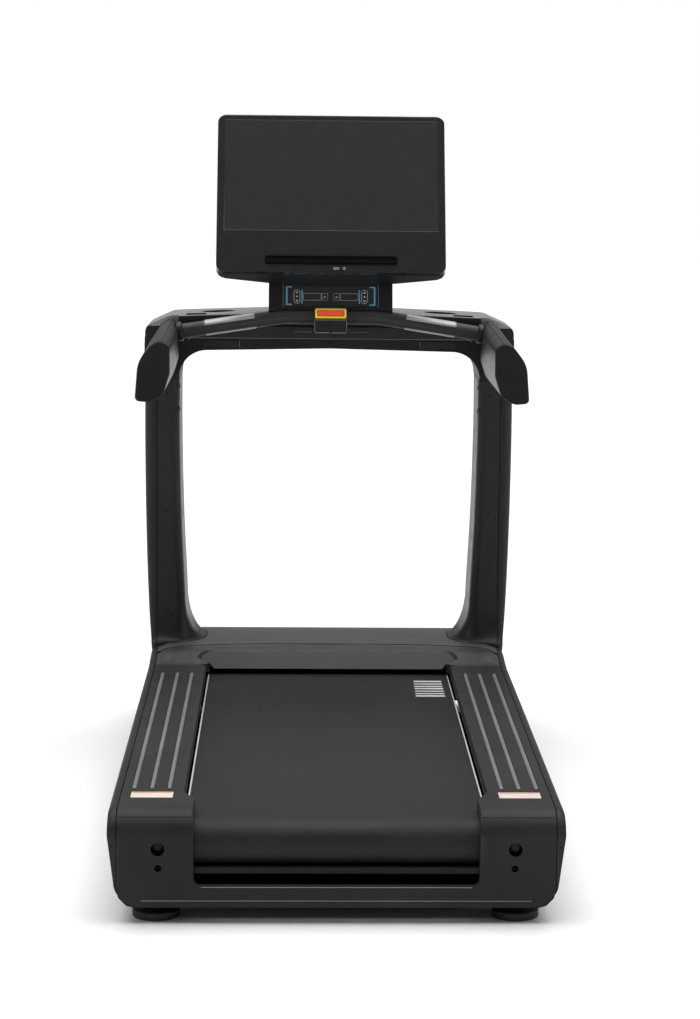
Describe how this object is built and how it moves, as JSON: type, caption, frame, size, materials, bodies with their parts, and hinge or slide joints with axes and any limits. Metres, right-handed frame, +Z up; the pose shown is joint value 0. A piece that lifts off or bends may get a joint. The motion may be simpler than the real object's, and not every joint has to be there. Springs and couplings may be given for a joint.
{
  "type": "treadmill",
  "caption": "Motorised treadmill: ribbed foot rails beside a running belt, motor hood, windowed upright frame with side arms, handlebar, stop button and large tilted display.",
  "frame": {"origin": "on the floor under the middle of the machine's length and width", "axes": "+Z up, +Y from the walking end to the motor hood, +X to the walker's right"},
  "size_m": [0.94, 2.15, 1.592],
  "materials": {
    "covers": "moulded satin charcoal",
    "upper_covers": "moulded satin charcoal",
    "hood": "moulded satin dark grey",
    "silver_top": "satin silver grey",
    "frame_steel": "powder coated black",
    "bright_steel": "zinc plated",
    "alloy": "machined",
    "iron": "turned and painted",
    "deck": "laminated board",
    "belt": "fine woven texture",
    "rubber": "moulded",
    "gloss_black": "gloss black",
    "picture": "unlit display",
    "pulse": "light grey conductive",
    "stop_red": "red",
    "stop_yellow": "yellow",
    "keys": "printed keys",
    "plate": "plain printed film",
    "glass": "smoked window"
  },
  "bodies": {
    "root": {"frame_side_rails": "frame_steel", "frame_crossmembers": "frame_steel", "frame_lugs": "frame_steel", "frame_bolts": "bright_steel", "deck_board": "deck", "deck_cushions": "rubber", "running_belt": "belt", "roller_bearings": "bright_steel", "rear_axle": "bright_steel", "roller_brackets": "frame_steel", "motor_housing": "frame_steel", "drive_belt": "rubber", "control_electronics": "alloy", "power_inlet": "gloss_black", "lift_actuator": "frame_steel", "rear_end_cover": "covers", "foot_rails": "covers", "rail_plates": "plate", "side_covers": "covers", "hood_rear_cover": "hood", "hood_front_cover": "hood", "belly_pan": "covers", "cover_screws": "bright_steel", "upright_tubes": "frame_steel", "upright_inner_covers": "upper_covers", "upright_outer_covers": "upper_covers", "crossbeam_tube": "frame_steel", "console_lower_shell": "upper_covers", "console_body": "upper_covers", "console_top_cover": "silver_top", "console_trays": "upper_covers", "console_neck": "upper_covers", "key_panel": "keys", "readout_windows": "glass", "estop_housing": "upper_covers", "estop_bezel": "stop_yellow", "handlebar": "upper_covers", "pulse_plates": "pulse", "arm_covers": "upper_covers", "arm_end_pads": "upper_covers", "display_back_shell": "upper_covers", "display_bezel": "gloss_black", "display_panel": "picture", "reading_ledge": "gloss_black", "socket_plate": "gloss_black"},
    "front_roller": {"front_drive_roller": "bright_steel", "driven_pulley": "alloy"},
    "rear_roller": {"rear_roller": "bright_steel"},
    "motor": {"motor_rotor": "bright_steel", "motor_flywheel": "iron"},
    "lift": {"lift_frame": "frame_steel"},
    "lift_wheel_left": {"lift_wheel_left": "rubber"},
    "lift_wheel_right": {"lift_wheel_right": "rubber"},
    "lift_tube": {"lift_push_tube": "bright_steel"},
    "foot_left": {"rear_foot_left": "rubber"},
    "foot_right": {"rear_foot_right": "rubber"},
    "power_switch": {"power_switch": "gloss_black"},
    "stop_button": {"estop_button": "stop_red"},
    "key_left": {"rocker_key_left": "keys"},
    "key_right": {"rocker_key_right": "keys"}
  },
  "joints": [
    {"name": "front_roller_spin", "type": "hinge", "parent": "root", "child": "front_roller", "pos_m": [0, 0.62, 0.155], "axis": [1, 0, 0], "continuous": true},
    {"name": "rear_roller_spin", "type": "hinge", "parent": "root", "child": "rear_roller", "pos_m": [0, -1.016, 0.155], "axis": [1, 0, 0], "continuous": true},
    {"name": "motor_spin", "type": "hinge", "parent": "root", "child": "motor", "pos_m": [0, 0.87, 0.125], "axis": [1, 0, 0], "continuous": true},
    {"name": "lift_swing", "type": "hinge", "parent": "root", "child": "lift", "pos_m": [0, 0.74, 0.082], "axis": [-1, 0, 0], "range_deg": [0, 48]},
    {"name": "lift_tube_slide", "type": "slide", "parent": "root", "child": "lift_tube", "axis": [0, 1, 0], "range_m": [0, 0.0765]},
    {"name": "lift_wheel_left_spin", "type": "hinge", "parent": "lift", "child": "lift_wheel_left", "pos_m": [-0.337, 1.005, 0.035], "axis": [1, 0, 0], "continuous": true},
    {"name": "lift_wheel_right_spin", "type": "hinge", "parent": "lift", "child": "lift_wheel_right", "pos_m": [0.337, 1.005, 0.035], "axis": [1, 0, 0], "continuous": true},
    {"name": "foot_left_screw", "type": "slide", "parent": "root", "child": "foot_left", "axis": [0, 0, -1], "range_m": [0, 0.012]},
    {"name": "foot_right_screw", "type": "slide", "parent": "root", "child": "foot_right", "axis": [0, 0, -1], "range_m": [0, 0.012]},
    {"name": "power_switch_rock", "type": "hinge", "parent": "root", "child": "power_switch", "pos_m": [-0.255, 1.063, 0.08], "axis": [1, 0, 0], "range_deg": [-8, 8]},
    {"name": "stop_press", "type": "slide", "parent": "root", "child": "stop_button", "axis": [0, 0.7526, -0.6585], "range_m": [0, 0.005], "stiffness_N_per_m": 800},
    {"name": "key_left_rock", "type": "hinge", "parent": "root", "child": "key_left", "pos_m": [-0.084, 0.50336, 1.14379], "axis": [1, 0, 0], "range_deg": [-3, 3], "stiffness_Nm_per_rad": 0.6},
    {"name": "key_right_rock", "type": "hinge", "parent": "root", "child": "key_right", "pos_m": [0.084, 0.50336, 1.14379], "axis": [1, 0, 0], "range_deg": [-3, 3], "stiffness_Nm_per_rad": 0.6}
  ],
  "couplings": [
    {"joint": "rear_roller_spin", "follows": "front_roller_spin", "ratio": 1},
    {"joint": "motor_spin", "follows": "front_roller_spin", "ratio": 2.5},
    {"joint": "lift_tube_slide", "follows": "lift_swing", "m_per_rad": 0.08738}
  ]
}
